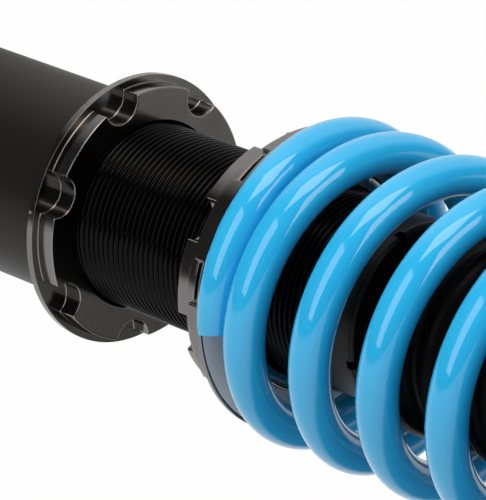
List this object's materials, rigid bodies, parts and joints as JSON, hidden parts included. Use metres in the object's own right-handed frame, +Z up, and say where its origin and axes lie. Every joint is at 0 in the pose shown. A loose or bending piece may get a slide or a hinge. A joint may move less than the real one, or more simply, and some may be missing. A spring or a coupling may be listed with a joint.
{
  "type": "strut assembly",
  "caption": "Height-adjustable coilover strut: a sliding ball-joint top mount, coil spring on a threaded damper body with notched lock rings, and a lower tube with knuckle ears.",
  "frame": {"origin": "on the strut's axis, in the top plate's upper face, at the centre of its three studs", "axes": "+Z up the strut's axis out through the car's strut tower, +X from the axis towards the ears that hold the knuckle, +Y to complete a right-handed frame"},
  "size_m": [0.1338, 0.1145, 0.5459],
  "materials": {
    "gunmetal": "satin gunmetal anodised",
    "black_plate": "satin black anodised",
    "black_paint": "satin black powder coat",
    "black_thread": "gloss black coating over a cut thread",
    "spring_blue": "gloss sky blue powder coat",
    "zinc_steel": "bright zinc plate",
    "bearing_steel": "ground bearing steel",
    "chrome_rod": "hard chrome, ground",
    "plain_steel": "turned steel",
    "boot_rubber": "matt black rubber",
    "buffer_foam": "cream polyurethane",
    "isolator_grey": "pale lilac-grey nylon",
    "seal_rubber": "black nitrile",
    "bearing_nylon": "dark nylon",
    "bush_bronze": "bronze"
  },
  "bodies": {
    "top_mount": {"top_plate": "black_plate", "tower_studs": "zinc_steel"},
    "camber_slider": {"bearing_carrier": "gunmetal", "slider_screws": "zinc_steel", "slider_washers": "zinc_steel", "bearing_race": "bearing_steel", "bearing_circlip": "plain_steel"},
    "rod": {"spherical_ball": "bearing_steel", "upper_spacer": "plain_steel", "lower_spacer": "plain_steel", "rod_nut": "zinc_steel", "piston_rod": "chrome_rod", "thrust_washer_top": "bearing_steel", "rebound_stop": "seal_rubber", "rebound_washer": "plain_steel", "rebound_shims": "bearing_steel", "piston": "plain_steel", "piston_band": "bearing_nylon", "compression_shims": "bearing_steel", "piston_nut": "zinc_steel"},
    "adjuster": {"adjuster_knob": "gunmetal"},
    "upper_seat": {"upper_spring_seat": "gunmetal", "upper_isolator": "isolator_grey", "needle_cage": "bearing_nylon", "thrust_washer_bottom": "bearing_steel", "bump_stop": "buffer_foam", "dust_boot": "boot_rubber"},
    "damper_body": {"threaded_body": "black_thread", "gland_nut": "gunmetal", "rod_wiper": "seal_rubber", "oil_seal": "seal_rubber", "rod_guide": "plain_steel", "guide_bush": "bush_bronze", "pressure_tube": "plain_steel", "base_valve": "plain_steel", "base_cap": "gunmetal"},
    "lower_seat": {"lower_isolator": "isolator_grey", "spring": "spring_blue"},
    "spring_perch": {"spring_seat": "gunmetal", "seat_lock_ring": "gunmetal"},
    "bracket_ring": {"bracket_lock_ring": "gunmetal"},
    "bracket": {"bracket_tube": "black_paint", "tube_cap": "black_paint", "knuckle_bracket": "black_paint", "link_tab": "black_paint", "hose_tab": "black_paint"}
  },
  "joints": [
    {"name": "camber_slide", "type": "slide", "parent": "top_mount", "child": "camber_slider", "axis": [1, 0, 0], "range_m": [-0.008, 0.008]},
    {"name": "ball_tilt", "type": "hinge", "parent": "camber_slider", "child": "rod", "pos_m": [0, 0, -0.015], "axis": [0, 1, 0], "range_deg": [-3, 3]},
    {"name": "adjuster_turn", "type": "hinge", "parent": "rod", "child": "adjuster", "pos_m": [0, 0, 0.02], "axis": [0, 0, 1], "range_deg": [-720, 0]},
    {"name": "steer_swivel", "type": "hinge", "parent": "rod", "child": "upper_seat", "pos_m": [0, 0, -0.0385], "axis": [0, 0, 1], "range_deg": [-45, 45]},
    {"name": "damper_travel", "type": "slide", "parent": "upper_seat", "child": "damper_body", "axis": [0, 0, 1], "range_m": [0, 0.085], "stiffness_N_per_m": 46000, "deforming": ["spring", "dust_boot"]},
    {"name": "perch_travel", "type": "slide", "parent": "damper_body", "child": "lower_seat", "axis": [0, 0, 1], "range_m": [-0.02, 0]},
    {"name": "perch_turn", "type": "hinge", "parent": "lower_seat", "child": "spring_perch", "pos_m": [0, 0, -0.24], "axis": [0, 0, 1], "range_deg": [-3600, 0]},
    {"name": "ride_height", "type": "slide", "parent": "damper_body", "child": "bracket_ring", "axis": [0, 0, 1], "range_m": [-0.04, 0.02]},
    {"name": "bracket_turn", "type": "hinge", "parent": "bracket_ring", "child": "bracket", "pos_m": [0, 0, -0.31], "axis": [0, 0, 1], "range_deg": [-7200, 3600]}
  ],
  "couplings": [
    {"joint": "perch_turn", "follows": "perch_travel", "rad_per_m": 3141.6},
    {"joint": "bracket_turn", "follows": "ride_height", "rad_per_m": 3141.6}
  ]
}
